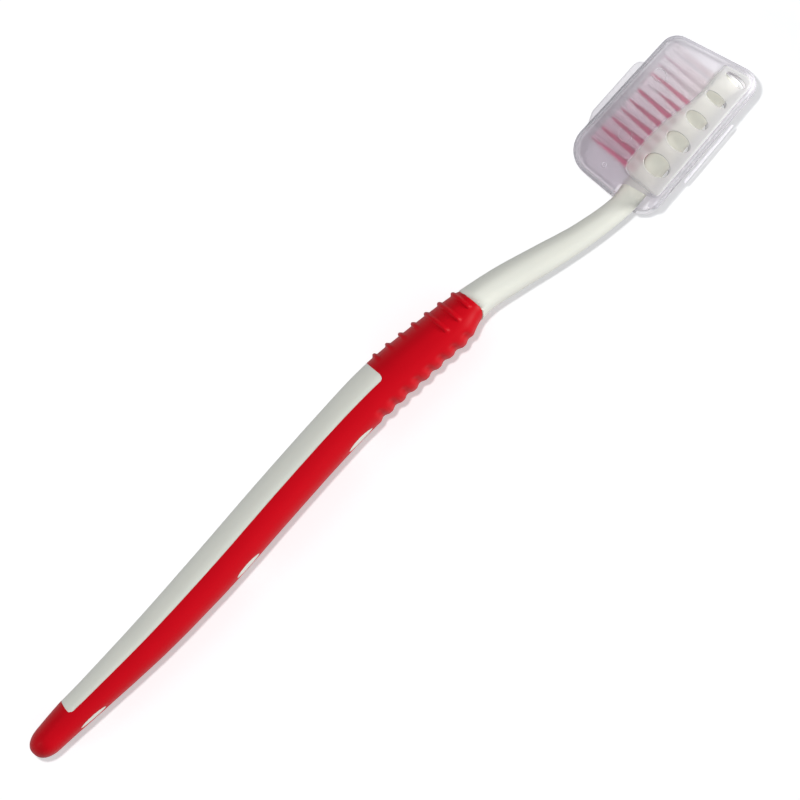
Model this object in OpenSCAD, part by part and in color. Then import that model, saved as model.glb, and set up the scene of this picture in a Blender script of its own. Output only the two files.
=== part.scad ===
// Manual toothbrush with a two-shot handle, in a folding travel cap.
// The brush lies on its side. X runs from the tail to the tip of the head, Y the way the bristles point,
// and Z is up. Every module draws about the brush's own mid plane, with X from the tail
// and Y from the back of the head; lay() then sets the whole on its resting plane.

/* [Brush] */
// Length from the tail of the grip to the tip of the head
brush_len = 188.4; // [182:0.2:196]
// Height in side view, from the back of the head to the front of the tail
crook_h = 24; // [22:0.5:26]
// Widest place of the grip
grip_w = 13.9; // [12.5:0.1:14]
// Fullness of the handle's section, where 2 is an ellipse
roundness = 2.4; // [2:0.1:3]

/* [Grip] */
// Thickness of the soft grip over the core
grip_t = 1.1; // [0.8:0.1:1.4]
// Distance from the tail to the front edge of the grip
grip_len = 122.5; // [120:0.5:126]
// Length of the rounded tail
tail_l = 4.2; // [3:0.2:6]
// Distance from the tail to the start of the bare panel
panel_start = 10.7; // [8:0.1:14]
// Bare panel's end, back from the first rib
panel_gap = 2.2; // [1.8:0.1:2.6]
// Length of a window through the back of the grip
window_l = 6.6; // [5:0.2:8]
// Width of a window, as seen from behind
window_w = 2.4; // [1.8:0.1:2.6]
// Distance of a window's middle from the middle of the back
window_side = 3.2; // [2.8:0.1:3.4]

/* [Thumb rest] */
// Distance between ribs
rib_pitch = 3.16; // [3:0.02:3.3]
// Number of ribs across the front
rib_count = 7; // [5:1:7]
// Height of a rib
rib_h = 0.42; // [0.2:0.02:0.6]
// Last rib's place, back from the front edge of the grip
rib_inset = 1.24; // [1:0.02:1.6]
// Number of grooves across the back
groove_count = 8; // [5:1:8]
// Length of a groove
groove_w = 2; // [1.6:0.1:2.2]
// Depth of a groove
groove_d = 0.45; // [0.2:0.05:0.7]

/* [Head] */
// Length of the head plate
head_l = 29; // [28:0.2:31]
// Width of the head
head_w = 11.4; // [11:0.1:12.4]
// Thickness of the head
head_t = 5.1; // [4.6:0.1:5.6]
// Corner radius at the head's tip
tip_r = 4.6; // [3.6:0.1:5]
// Corner radius at the head's shoulders
shoulder_r = 3; // [2:0.1:4]
// Width of the neck where it meets the head
neck_w = 5.6; // [5:0.1:6.2]

/* [Tufts] */
// Number of rows of tufts
row_count = 11; // [9:1:11]
// First row's place, from the neck end of the head
first_row_inset = 4.3; // [4:0.1:5]
// Last row's place, back from the tip of the head
last_row_inset = 2.15; // [2:0.05:2.4]
// How much closer each row stands than the one before, as a share of the first distance
pitch_loss = 0.0265; // [0.02:0.0005:0.028]
// Plastic left between the closest tuft holes
hole_wall = 0.42; // [0.36:0.02:0.5]
// Plastic left between the outer tuft holes and the sides of the head
hole_edge = 1.15; // [1:0.05:1.3]
// Depth of a tuft hole
hole_d = 3.4; // [3:0.1:3.8]
// Free length of the longest bristles
bristle_l = 10.4; // [9:0.1:11]
// Radius of one strand, as a share of a tuft hole's radius
strand_share = 0.238; // [0.18:0.002:0.24]
// Strands round the middle one of a tuft
ring_strands = 8; // [7:1:8]
// Clearance between what is pressed in and its seat
fit_gap = 0.02; // [0.01:0.01:0.04]
// Thickness of an anchor plate
anchor_t = 0.3; // [0.2:0.05:0.4]
// Height of an anchor plate
anchor_h = 1; // [0.8:0.1:1.4]

/* [Cap] */
// Wall of the cap
wall = 0.65; // [0.6:0.05:0.8]
// Room between the head's sides and the cap's faces
face_gap = 0.1; // [0.08:0.02:0.2]
// Room round the neck where it leaves the cap
neck_gap = 0.5; // [0.4:0.05:0.7]
// Room behind the head
back_gap = 2.65; // [2.2:0.05:3]
// Room past the bristle tips
front_gap = 1.85; // [1.5:0.05:2.2]
// Room past the tip of the head, at the cap's mid height
tip_gap = 1.25; // [1.1:0.05:1.6]
// Length of neck that the cap covers
neck_cover = 3.6; // [3:0.1:4.4]
// Radius of the cap's corner at the back of the tip
cap_corner_r = 3.5; // [3:0.1:3.8]
// Lean of the cap's tip end, in degrees
tip_lean = 12.9; // [10:0.1:14]
// Fall of the cap's front edge towards the tip, in degrees
front_fall = 2.1; // [1:0.1:2.6]
// Draft of the cap's side walls, as an inset at the edge of the face
draft = 0.3; // [0.2:0.05:0.5]
// Radius of the edge round the face
edge_r = 1; // [0.8:0.1:1.3]
// Height of the pocket that stands up from the face, over the head
pocket_h = 0.55; // [0.5:0.05:0.8]
// Gap between the two rims when the cap is shut
rim_gap = 0.1; // [0.06:0.02:0.2]
// Width of the largest vent, along the head
vent_w = 4.1; // [3.4:0.1:4.4]
// Height of the largest vent
vent_h = 5.6; // [4.6:0.1:5.8]

/* [Hinge and catch] */
// Length of the hinge
hinge_l = 14.6; // [12:0.2:17]
// Radius of the folded hinge film, to its outside
film_r = 0.6; // [0.5:0.05:0.7]
// Thickness of the hinge film
film_t = 0.25; // [0.2:0.05:0.3]
// Thickness of the hinge flanges
flange_t = 0.9; // [0.7:0.1:1.2]
// Reach of a hinge flange past the back wall
flange_reach = 0.3; // [0.2:0.05:0.5]
// Length of the finger tab
tab_l = 16.4; // [13:0.2:17]
// Reach of the finger tab past the front wall
tab_reach = 1.2; // [0.9:0.1:1.6]
// Thickness of the finger tab
tab_t = 1.2; // [0.9:0.1:1.5]
// Height of the catch tongue above its rim
tongue_h = 1.2; // [0.8:0.1:1.6]
// Thickness of the catch tongue
tongue_t = 0.5; // [0.4:0.05:0.6]
// Clearance between the tongue and the wall that it slides past
tongue_gap = 0.2; // [0.16:0.01:0.24]

/* [Hidden] */
ROWS = [for (i = [1 : row_count]) str(i < 10 ? "0" : "", i)];

// Overrun of a cut past the face that it leaves
over = 1;
// Lap of one solid into the next where they are one moulding
lap = 0.4;

// Tufts: the rows fill the head, and the holes take what the closest rows leave
handle_len = brush_len - head_l;
row_gaps = row_count - 1;
row_run = row_gaps - pitch_loss * row_gaps * (row_gaps - 1) / 2;
row_pitch = (head_l - first_row_inset - last_row_inset) / row_run;
hole_r = (row_pitch * (1 - (row_gaps - 2) * pitch_loss) - hole_wall) / 2;
strand_r = strand_share * hole_r;
outer_z = head_w / 2 - hole_edge - hole_r;
inner_z = outer_z / 3;
plug_r = hole_r - fit_gap;
root_ring_r = plug_r - strand_r - fit_gap;
fan_share = 0.4; // spread of a tuft's tips, as a share of its root ring
dip_share = 0.075; // how far the bristle field dips in the middle
fall_share = 0.035; // how far it falls towards the tip
red_rows = row_count - 3;
anchor_l = 2 * plug_r - anchor_t;
last_z = 1.2 * inner_z; // columns of the last row, drawn in by the round tip

// Handle: its outer surface from the tail to the head.
// Columns: place along the handle, front line, back line, half width.
handle_shares = [
    [0, 0.996, 0.778, 0.69],
    [0.055, 0.998, 0.718, 0.72],
    [0.111, 0.977, 0.664, 0.777],
    [0.205, 0.948, 0.583, 0.842],
    [0.318, 0.931, 0.531, 0.878],
    [0.431, 0.921, 0.514, 0.906],
    [0.544, 0.9, 0.488, 0.95],
    [0.62, 0.871, 0.438, 0.99],
    [0.695, 0.783, 0.372, 0.99],
    [0.736, 0.723, 0.337, 0.92],
    [0.768, 0.669, 0.373, 0.763],
    [0.818, 0.567, 0.283, 0.59],
    [0.87, 0.432, 0.171, 0.504],
    [0.922, 0.296, 0.075, 0.439],
    [0.977, 0.203, 0.005, 0.403],
];
root_inset = head_t / 25;
stations = concat(
    [for (s = handle_shares) [s[0] * handle_len, s[1] * crook_h, s[2] * crook_h, s[3] * grip_w / 2]],
    [[handle_len + 2 * hole_r, head_t - root_inset, root_inset, neck_w / 2 - root_inset]]
);

// Grip: the ribs and grooves take turns along the thumb rest
last_rib_x = grip_len - rib_inset;
first_rib_x = last_rib_x - (rib_count - 1) * rib_pitch;
texture_x = last_rib_x - (groove_count + 1) * rib_pitch;
rib_w = rib_pitch - groove_w;
panel_end = first_rib_x - panel_gap;
long_ribs = 3;
window_shares = [0.107, 0.45, 0.718];
window_xs = [for (s = window_shares) s * grip_len];
window_column = 2; // column of the grid through a window's middle, from the middle of the back
window_limit = 0.86; // share of the half width that a window keeps within
panel_lift = 3.5; // degrees that the panel's lower edge lies in front of the widest line

// Grid that the core and the grip share: cells round the back, cells round the front
low_cells = 12;
up_cells = 8;
sides = low_cells + up_cells;
back_k = low_cells / 2;
front_k = low_cells + up_cells / 2;
tail_steps = 5;
ring_gap = grip_t / 12;
ring_run = 6 * grip_t;

// Cap: its box follows from the head, the bristles and the room round them
face_z = head_w / 2 + face_gap + wall;
cap_half_t = face_z + pocket_h;
mid_z = max(cap_half_t, grip_w / 2);
cap_x0 = handle_len - neck_cover;
cap_back_y = -back_gap - wall;
cap_front_y = head_t + bristle_l + front_gap + wall;
cap_mid_y = (cap_back_y + cap_front_y) / 2;
cap_tip_x = brush_len + tip_gap + wall;
front_from_x = cap_x0 + neck_cover;
corner_steps = 6;
// Corners in turn: back and tip, tip and front, front and neck end, neck end and back
edge_angles = [-90, tip_lean, 90 - front_fall, 180, 270];
corner_shares = [1, 0.88, 1.6, 1.28];
corner_rs = [for (s = corner_shares) s * cap_corner_r];
edge_hs = [
    -cap_back_y,
    cap_tip_x * cos(tip_lean) + cap_mid_y * sin(tip_lean),
    front_from_x * sin(front_fall) + cap_front_y * cos(front_fall),
    -cap_x0,
    -cap_back_y,
];

// Vents. Columns: place along the head, place across its thickness, width, height.
vent_shares = [
    [0.223, 0.45, 1, 1],
    [0.436, 0.41, 0.76, 0.95],
    [0.627, 0.39, 0.65, 0.88],
    [0.817, 0.33, 0.46, 0.88],
    [0.998, 0.235, 0.44, 0.84],
];

// Hinge: the flanges end just short of the fold's axis, so that they stay apart when the cap lies open
flange_y = cap_back_y - flange_reach;
hinge_y = flange_y - rim_gap;
hinge_share = 0.26;
hinge_x = handle_len + hinge_share * head_l;

// Finger tab: where it starts, and how far its front edge stands out at that end
tab_share = 0.14;
tab_x = handle_len + tab_share * head_l;
tab_rise = 0.39;

// Where the part stands: under the middle of its box
reach_x = corner_centre(0)[0] + corner_rs[0];
reach_back_y = hinge_y - film_r;
origin = [reach_x / 2, (reach_back_y + crook_h) / 2, -mid_z];

module lay() {
    translate(-origin) children();
}

// Smooth curve through the stations
function slope(i, col) = let (
        a = stations[max(i - 1, 0)],
        b = stations[min(i + 1, len(stations) - 1)]
    ) (b[col] - a[col]) / (b[0] - a[0]);

function span(x, i = 0) = i >= len(stations) - 2 || x < stations[i + 1][0] ? i : span(x, i + 1);

function track(x, col) = let (
        i = span(x),
        a = stations[i],
        b = stations[i + 1],
        w = b[0] - a[0],
        t = min(max((x - a[0]) / w, 0), 1),
        s = 1 - t
    ) s * s * (1 + 2 * t) * a[col] + t * t * (1 + 2 * s) * b[col]
        + s * t * (s * slope(i, col) - t * slope(i + 1, col)) * w;

function mid_line(x) = (track(x, 1) + track(x, 2)) / 2;
function half_height(x) = (track(x, 1) - track(x, 2)) / 2;
function half_width(x) = track(x, 3);

// Ring places along the handle, in order and never closer than ring_gap
function in_order(list) = len(list) < 2 ? list : let (
        pivot = list[floor(len(list) / 2)],
        before = [for (v = list) if (v < pivot) v],
        after = [for (v = list) if (v > pivot) v]
    ) concat(in_order(before), [pivot], in_order(after));

texture_xs = [for (m = [0 : groove_count])
    let (c = last_rib_x - m * rib_pitch)
        each [c - rib_w / 2, c - rib_w / 5, c + rib_w / 5, c + rib_w / 2, c - rib_pitch / 2]];
window_ring_xs = [for (c = window_xs) each [for (p = [-1 : 1 / 3 : 1.01]) c + p * window_l / 2]];
root_x = handle_len + 2 * hole_r;
fixed_xs = concat(texture_xs, window_ring_xs, [panel_start, panel_end, grip_len, root_x]);
run_xs = [for (x = [panel_start : ring_run : handle_len])
    if (min([for (f = fixed_xs) abs(f - x)]) > grip_t) x];
wanted_xs = in_order(concat(fixed_xs, run_xs));
kept_xs = [for (i = [0 : len(wanted_xs) - 1])
    if (i == 0 || wanted_xs[i] - wanted_xs[i - 1] > ring_gap) wanted_xs[i]];

// Each ring: place on the outside, place on the core, share of its full size
rings = concat(
    [for (i = [0 : tail_steps - 1])
        let (a = 10 + 80 * i / (tail_steps - 1), run = 1 - cos(a))
            [tail_l * run, grip_t + (tail_l - grip_t) * run, sin(a)]],
    [for (x = kept_xs) [x, x, 1]]
);
ring_count = len(rings);

// Direction of each column of the grid, round the back first and then round the front
function turn(k) = k <= low_cells
    ? 180 - panel_lift + k * (180 + 2 * panel_lift) / low_cells
    : 360 + panel_lift + (k - low_cells) * (180 - 2 * panel_lift) / up_cells;

function signed_pow(v, e) = sign(v) * pow(abs(v), e);

// Ribs on the front and grooves on the back
function rib_reach(m) = m < long_ribs ? up_cells / 2 - 1 : up_cells / 4;
function rib_lift(x, k) = max([0, for (m = [0 : rib_count - 1])
    abs(x - last_rib_x + m * rib_pitch) < rib_w / 3 && abs(k - front_k) <= rib_reach(m) ? rib_h : 0]);
function groove_cut(x, k) = max([0, for (m = [0 : groove_count - 1])
    abs(x - last_rib_x + (m + 1.5) * rib_pitch) < rib_w / 8 && abs(k - back_k) <= low_cells / 4
        ? groove_d : 0]);

// Windows stand in pairs either side of the back, and bend the grid round an ellipse
function window_at(x) = [for (c = window_xs) if (abs(x - c) <= window_l / 2 + ring_gap / 9) c];

// One point of the handle's skin: level 1 on the surface, level 0 under the grip
function skin(level, ring, k) = let (
        x0 = level == 1 ? ring[0] : ring[1],
        c = window_at(x0),
        dk = k - back_k,
        q = abs(dk) - window_column,
        bent = len(c) > 0 && abs(q) <= 1,
        p = bent ? (x0 - c[0]) * 2 / window_l : 0,
        x = bent ? c[0] + p * window_l / 2 * sqrt(1 - q * q / 2) : x0,
        t = (1 - level) * grip_t,
        h = (half_height(x) - t) * ring[2],
        w = (half_width(x) - t) * ring[2],
        a = turn(k),
        z0 = bent
            ? sign(dk) * min(window_side + window_w / 2 * q * sqrt(1 - p * p / 2), window_limit * w)
            : w * signed_pow(cos(a), 2 / roundness),
        y0 = bent
            ? -h * pow(1 - pow(abs(z0) / w, roundness), 1 / roundness)
            : h * signed_pow(sin(a), 2 / roundness),
        relief = level * (rib_lift(x, k) - groove_cut(x, k)),
        grow = 1 + relief / norm([y0, z0])
    ) [x, mid_line(x) + y0 * grow, z0 * grow];

skin_points = [for (level = [0, 1]) for (r = rings) for (k = [0 : sides - 1]) skin(level, r, k)];

// Cells of the grid: where the core is bare it comes up to the surface, elsewhere the grip covers it
function is_bare(j, k) = let (x = (rings[j][0] + rings[j + 1][0]) / 2)
    x > grip_len
        || (x > panel_start && x < panel_end && k >= low_cells)
        || (len(window_at(x)) > 0 && abs(abs(k + 0.5 - back_k) - window_column) < 1);

bare = [for (j = [0 : ring_count - 2]) [for (k = [0 : sides - 1]) is_bare(j, k) ? 1 : 0]];
covered = [for (row = bare) [for (c = row) 1 - c]];

function at(level, j, k) = (level * ring_count + j) * sides + k % sides;
function quad(a, b, c, d) = [[a, b, c], [a, c, d]];
function facet(level, j, k) =
    quad(at(level, j, k), at(level, j, k + 1), at(level, j + 1, k + 1), at(level, j + 1, k));
function turned(faces) = [for (f = faces) [f[2], f[1], f[0]]];

// Walls between cells that stand at different levels
function walls(map) = concat(
    [for (j = [1 : ring_count - 2]) for (k = [0 : sides - 1])
        let (a = map[j - 1][k], b = map[j][k])
            if (a != b) each quad(at(a, j, k), at(a, j, k + 1), at(b, j, k + 1), at(b, j, k))],
    [for (j = [0 : ring_count - 2]) for (k = [0 : sides - 1])
        let (a = map[j][(k + sides - 1) % sides], b = map[j][k])
            if (a != b)
                each quad(at(a, j + 1, k), at(a, j, k), at(b, j, k), at(b, j + 1, k))]
);

// Flat end of the skin, as a fan
function end_face(level, j) = [for (k = [1 : sides - 2])
    [at(level, j, 0), at(level, j, k), at(level, j, k + 1)]];

core_faces = concat(
    [for (j = [0 : ring_count - 2]) for (k = [0 : sides - 1]) each facet(bare[j][k], j, k)],
    walls(bare),
    turned(end_face(0, 0)),
    end_face(1, ring_count - 1)
);

grip_faces = concat(
    [for (j = [0 : ring_count - 2]) for (k = [0 : sides - 1])
        if (covered[j][k] == 1) each concat(facet(1, j, k), turned(facet(0, j, k)))],
    walls(covered),
    turned(end_face(1, 0)),
    end_face(0, 0)
);

// Draws a flat outline in X and Z, and raises it from y0 to y1
module upright(y0, y1) {
    translate([0, y1, 0]) rotate([90, 0, 0]) linear_extrude(y1 - y0) children();
}

module head_outline() {
    hull() {
        for (s = [-1, 1]) {
            translate([brush_len - tip_r, s * (head_w / 2 - tip_r)]) circle(tip_r, $fn = 48);
            translate([handle_len + head_w / 2, s * (head_w / 2 - shoulder_r)])
                circle(shoulder_r, $fn = 48);
        }
        translate([handle_len, 0]) circle(neck_w / 2, $fn = 32);
    }
}

// Tuft places: the inner columns stand between the rows of the outer ones
function row_x(i) = handle_len + first_row_inset + row_pitch * (i - pitch_loss * i * (i - 1) / 2);
function inner_x(i) = row_x(i) - row_pitch * (1 - i * pitch_loss) / 2;
function outer_zs(i) = i == row_gaps ? [-last_z, last_z] : [-outer_z, outer_z];
function tip_share(i) = let (t = i / row_gaps) 1 - dip_share * sin(180 * t) - fall_share * t;

module at_outer(i) {
    for (z = outer_zs(i)) translate([row_x(i), 0, z]) children();
}

module at_inner(i) {
    for (z = [-inner_z, inner_z]) translate([inner_x(i), 0, z]) children();
}

module at_all_tufts() {
    for (i = [0 : row_gaps]) at_outer(i) children();
    for (i = [0 : row_gaps - 1]) at_inner(i) children();
}

module handle_core() {
    color("ivory") lay() {
        union() {
            polyhedron(skin_points, core_faces);
            difference() {
                upright(0, head_t) head_outline();
                at_all_tufts() upright(head_t - hole_d, head_t + over) circle(hole_r, $fn = 32);
            }
        }
    }
}

module grip_overmould() {
    color("crimson") lay() polyhedron(skin_points, grip_faces);
}

// A tuft: strands that fan out of the plug in which they are folded over their anchor
module strand(x, z, lean, length) {
    translate([x, head_t - lap, z]) rotate([0, -atan2(z, x), 0]) rotate([-90, 0, 0]) rotate([0, lean, 0])
        rotate([0, 0, 45]) linear_extrude(length + lap) circle(strand_r, $fn = 4);
}

module tuft(length) {
    lean = atan(root_ring_r * fan_share / length);
    difference() {
        union() {
            upright(head_t - hole_d, head_t) circle(plug_r, $fn = 32);
            strand(0, 0, 0, length);
            for (n = [0 : ring_strands - 1]) {
                a = 360 * n / ring_strands;
                strand(root_ring_r * cos(a), root_ring_r * sin(a), lean, length);
            }
        }
        anchor(fit_gap);
    }
}

module anchor(grow) {
    translate([-anchor_l / 2 - grow, head_t - hole_d - grow, -anchor_t / 2 - grow])
        cube([anchor_l + 2 * grow, anchor_h + 2 * grow, anchor_t + 2 * grow]);
}

module outer_tufts(i) {
    color("lavenderblush") lay() at_outer(i) tuft(bristle_l * tip_share(i));
}

module inner_tufts(i) {
    color(i < red_rows ? "palevioletred" : "white") lay() at_inner(i) tuft(bristle_l * tip_share(i));
}

module tuft_anchors() {
    color("gold") lay() at_all_tufts() anchor(0);
}

// Cap outline, drawn in by the given inset: straight edges between round corners
function corner_centre(i) = let (
        a = edge_angles[i],
        b = edge_angles[i + 1],
        ha = edge_hs[i] - corner_rs[i],
        hb = edge_hs[i + 1] - corner_rs[i]
    ) [ha * sin(b) - hb * sin(a), hb * cos(a) - ha * cos(b)] / sin(b - a);

function cap_outline(inset) = [for (i = [0 : len(corner_rs) - 1]) for (s = [0 : corner_steps])
    let (a = edge_angles[i] + (edge_angles[i + 1] - edge_angles[i]) * s / corner_steps)
        corner_centre(i) + (corner_rs[i] - inset) * [cos(a), sin(a)]];

outline_n = len(cap_outline(0));

// Half of the cap as a tray, open downwards at its rim. Each level: height, inset.
edge_steps = [0, 30, 60, 90];
outer_levels = concat([[rim_gap / 2, 0]],
    [for (a = edge_steps) [face_z - edge_r * (1 - sin(a)), draft + edge_r * (1 - cos(a))]]);
inner_levels = concat([[rim_gap / 2, wall]],
    [for (a = edge_steps) [face_z - wall - (edge_r - wall / 2) * (1 - sin(a)),
        draft + wall + (edge_r - wall / 2) * (1 - cos(a))]]);
tray_levels = concat([for (i = [len(inner_levels) - 1 : -1 : 0]) inner_levels[i]], outer_levels);
tray_points = [for (v = tray_levels) for (p = cap_outline(v[1])) [p[0], p[1], v[0]]];
tray_faces = concat(
    [for (j = [0 : len(tray_levels) - 2]) for (k = [0 : outline_n - 1])
        let (m = (k + 1) % outline_n, a = j * outline_n, b = a + outline_n)
            each quad(a + k, b + k, b + m, a + m)],
    [for (k = [1 : outline_n - 2]) [0, k, k + 1]],
    [for (k = [1 : outline_n - 2])
        let (b = (len(tray_levels) - 1) * outline_n) [b, b + k + 1, b + k]]
);

// Line between the low bristle side of the face and the pocket over the head.
// Its two levels are shares of the head's thickness, and its two ends shares of its length.
crease_shares = [1.43, 0.96];
crease_run_shares = [0.33, 0.85];
function crease_y(x) = let (
        x0 = handle_len + crease_run_shares[0] * head_l,
        x1 = handle_len + crease_run_shares[1] * head_l,
        t = min(max((x - x0) / (x1 - x0), 0), 1),
        s = (1 + cos(180 * t)) / 2
    ) (s * crease_shares[0] + (1 - s) * crease_shares[1]) * head_t;
crease_steps = 14;
pocket_inset = draft + edge_r;
pocket_share = 0.05;
pocket_x0 = handle_len + pocket_share * head_l;

module crease_region(inset) {
    first_x = pocket_x0 + inset;
    last_x = cap_tip_x + neck_cover;
    polygon(concat(
        [[first_x, cap_back_y - over]],
        [for (i = [0 : crease_steps])
            let (x = first_x + (last_x - first_x) * i / crease_steps) [x, crease_y(x) - inset]],
        [[last_x, cap_back_y - over]]
    ));
}

module pocket_region(inset) {
    intersection() {
        polygon(cap_outline(pocket_inset + inset));
        crease_region(inset);
    }
}

module ellipse(w, h) {
    polygon([for (a = [0 : 12 : 348]) [w / 2 * cos(a), h / 2 * sin(a)]]);
}

module half_shell() {
    difference() {
        union() {
            polyhedron(tray_points, tray_faces);
            translate([0, 0, face_z - wall / 2]) linear_extrude(pocket_h + wall / 2) pocket_region(0);
        }
        translate([0, 0, face_z - wall - lap]) linear_extrude(pocket_h + lap) pocket_region(wall);
        for (v = vent_shares) translate([handle_len + v[0] * head_l, v[1] * head_t, face_z - wall - lap])
            linear_extrude(pocket_h + wall + lap + over) ellipse(v[2] * vent_w, v[3] * vent_h);
    }
}

module flange(low_z, high_z) {
    translate([hinge_x, flange_y, low_z])
        cube([hinge_l, flange_reach + wall / 2, high_z - low_z]);
}

// Open way for the neck through the upper half, which also takes away its corner at the back.
// Columns: place along the covered neck, place across the head's thickness.
notch_shares = [
    [0.72, 1.08],
    [0.98, 0.84],
    [1.25, -0.19],
    [0.74, -0.3],
    [1, -0.57],
    [1.35, -0.72],
];
module wide_notch() {
    points = [for (s = notch_shares) [cap_x0 + s[0] * neck_cover, s[1] * head_t]];
    first = points[0];
    last = points[len(points) - 1];
    translate([0, 0, -over]) linear_extrude(cap_half_t + 2 * over) polygon(concat(
        [[cap_x0 - over, first[1]]],
        points,
        [[last[0], cap_back_y - over], [cap_x0 - over, cap_back_y - over]]
    ));
}

// Close-fitting way for the neck through the lower half's end wall
module neck_slot() {
    slot_r = neck_w / 2 + neck_gap;
    low_y = -neck_gap;
    high_y = head_t + neck_gap;
    round_r = head_t / 3;
    slot_l = over + wall + edge_r + draft;
    translate([cap_x0 - over, 0, 0]) rotate([90, 0, 90]) linear_extrude(slot_l) hull() {
        for (y = [low_y + round_r, high_y - round_r])
            translate([y, round_r - slot_r]) circle(round_r, $fn = 24);
        translate([low_y, 0]) square([high_y - low_y, over]);
    }
}

// Finger tab outline along the front rim
module tab_outline() {
    front_y = cap_front_y - (tab_x - front_from_x) * tan(front_fall);
    end_y = front_y - tab_l * tan(front_fall);
    end_r = 2 * tab_reach;
    difference() {
        hull() {
            translate([tab_x, front_y - wall]) circle(wall / 3, $fn = 16);
            translate([tab_x + 3 * tab_reach, front_y + tab_rise * tab_reach])
                circle(tab_reach / 3, $fn = 24);
            translate([tab_x + tab_l - end_r, end_y + tab_reach - end_r]) circle(end_r, $fn = 48);
        }
        polygon(cap_outline(wall / 2));
    }
}

// Catch tongue: stands up inside the upper half's front wall
module tongue_outline(outer_inset) {
    intersection() {
        difference() {
            polygon(cap_outline(outer_inset));
            polygon(cap_outline(wall + tongue_gap + tongue_t));
        }
        translate([tab_x + wall, cap_mid_y]) square([tab_l - 3 * wall, cap_front_y]);
    }
}

module cap_lower_half() {
    color("thistle", 0.5) lay() {
        difference() {
            union() {
                mirror([0, 0, 1]) half_shell();
                translate([0, 0, -rim_gap / 2 - tab_t]) linear_extrude(tab_t) tab_outline();
                translate([0, 0, -rim_gap / 2 - 2 * tongue_h]) linear_extrude(2 * tongue_h)
                    tongue_outline(wall / 2);
                translate([0, 0, -tongue_h]) linear_extrude(2 * tongue_h)
                    tongue_outline(wall + tongue_gap);
                flange(-flange_t, -rim_gap / 2);
            }
            neck_slot();
        }
    }
}

module cap_upper_half() {
    color("thistle", 0.5) lay() {
        difference() {
            half_shell();
            wide_notch();
        }
        flange(rim_gap / 2, flange_t);
    }
}

// Thin film that joins the two flanges, folded back on itself while the cap is shut
module cap_hinge_film() {
    color("lavender") lay() translate([hinge_x, hinge_y, 0]) rotate([90, 0, 90]) linear_extrude(hinge_l)
        difference() {
            union() {
                circle(film_r, $fn = 48);
                translate([0, -film_r]) square([flange_y - hinge_y, 2 * film_r]);
            }
            circle(film_r - film_t, $fn = 48);
            translate([0, film_t - film_r]) square([film_r, 2 * (film_r - film_t)]);
            translate([flange_y - hinge_y, -film_r]) square([film_r, 2 * film_r]);
        }
}

handle_core();
grip_overmould();
for (i = [0 : row_count - 1])
    outer_tufts(i);
for (i = [0 : row_count - 2])
    inner_tufts(i);
tuft_anchors();
cap_lower_half();
cap_upper_half();
cap_hinge_film();
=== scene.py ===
import bpy
import bmesh
import math
import random
from mathutils import Matrix, Vector, noise


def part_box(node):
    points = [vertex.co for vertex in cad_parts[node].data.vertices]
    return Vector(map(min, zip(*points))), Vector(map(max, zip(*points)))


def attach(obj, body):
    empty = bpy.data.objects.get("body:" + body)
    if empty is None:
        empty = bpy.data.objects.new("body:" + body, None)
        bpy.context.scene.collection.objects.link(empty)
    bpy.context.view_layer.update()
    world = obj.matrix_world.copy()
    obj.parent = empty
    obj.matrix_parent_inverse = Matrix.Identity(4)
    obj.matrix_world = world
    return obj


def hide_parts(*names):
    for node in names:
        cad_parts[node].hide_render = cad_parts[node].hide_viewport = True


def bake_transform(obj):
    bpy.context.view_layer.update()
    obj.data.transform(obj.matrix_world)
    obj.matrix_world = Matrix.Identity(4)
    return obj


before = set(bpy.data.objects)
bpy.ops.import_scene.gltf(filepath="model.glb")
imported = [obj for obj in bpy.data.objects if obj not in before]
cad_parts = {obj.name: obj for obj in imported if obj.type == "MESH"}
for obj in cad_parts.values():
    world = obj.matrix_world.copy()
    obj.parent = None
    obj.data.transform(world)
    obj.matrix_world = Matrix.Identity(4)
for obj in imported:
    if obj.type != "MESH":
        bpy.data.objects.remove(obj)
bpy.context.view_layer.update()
print("frame loaded:", len(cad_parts), "nodes")

# Every piece is drawn in millimetres about the brush:
# x from the tail, y from the back of the head, z from the middle plane
brush = {
    "length": 188.4,
    "headLength": 29.0,
    "crook": 24.0,
    "gripWidth": 13.9,
    "gripLength": 122.5,
}
neckLength = brush["length"] - brush["headLength"]
coreLow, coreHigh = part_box("handle_core")
brushOrigin = (coreHigh.x - brush["length"] / 1000, coreLow.y, (coreLow.z + coreHigh.z) / 2)
toRow = Matrix.Translation(brushOrigin) @ Matrix.Scale(0.001, 4)


def smoothStep(low, high, value):
    t = min(max((value - low) / (high - low), 0), 1)
    return t * t * (3 - 2 * t)


def evenly(low, high, step):
    count = max(1, round((high - low) / step))
    return [low + (high - low) * i / count for i in range(count)]


def turns(stop, step):
    # angles from 0 in steps of whole degrees
    return [math.radians(a) for a in range(0, stop, step)]


# Materials
def newMaterial(name):
    material = bpy.data.materials.new(name)
    material.use_nodes = True
    material.node_tree.nodes.clear()
    return material, material.node_tree


def wire(tree, kind, inputs=None, **settings):
    node = tree.nodes.new(kind)
    for name, value in settings.items():
        setattr(node, name, value)
    for name, value in (inputs or {}).items():
        if isinstance(value, bpy.types.NodeSocket):
            tree.links.new(value, node.inputs[name])
        else:
            node.inputs[name].default_value = value
    return node


def mapped(tree, value, fromLow, fromHigh, toLow=0.0, toHigh=1.0, smooth=False):
    ends = {"From Min": fromLow, "From Max": fromHigh, "To Min": toLow, "To Max": toHigh}
    way = "SMOOTHSTEP" if smooth else "LINEAR"
    return wire(tree, "ShaderNodeMapRange", {"Value": value, **ends}, interpolation_type=way).outputs[0]


def worked(tree, operation, *values):
    return wire(tree, "ShaderNodeMath", dict(enumerate(values)), operation=operation).outputs[0]


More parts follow.
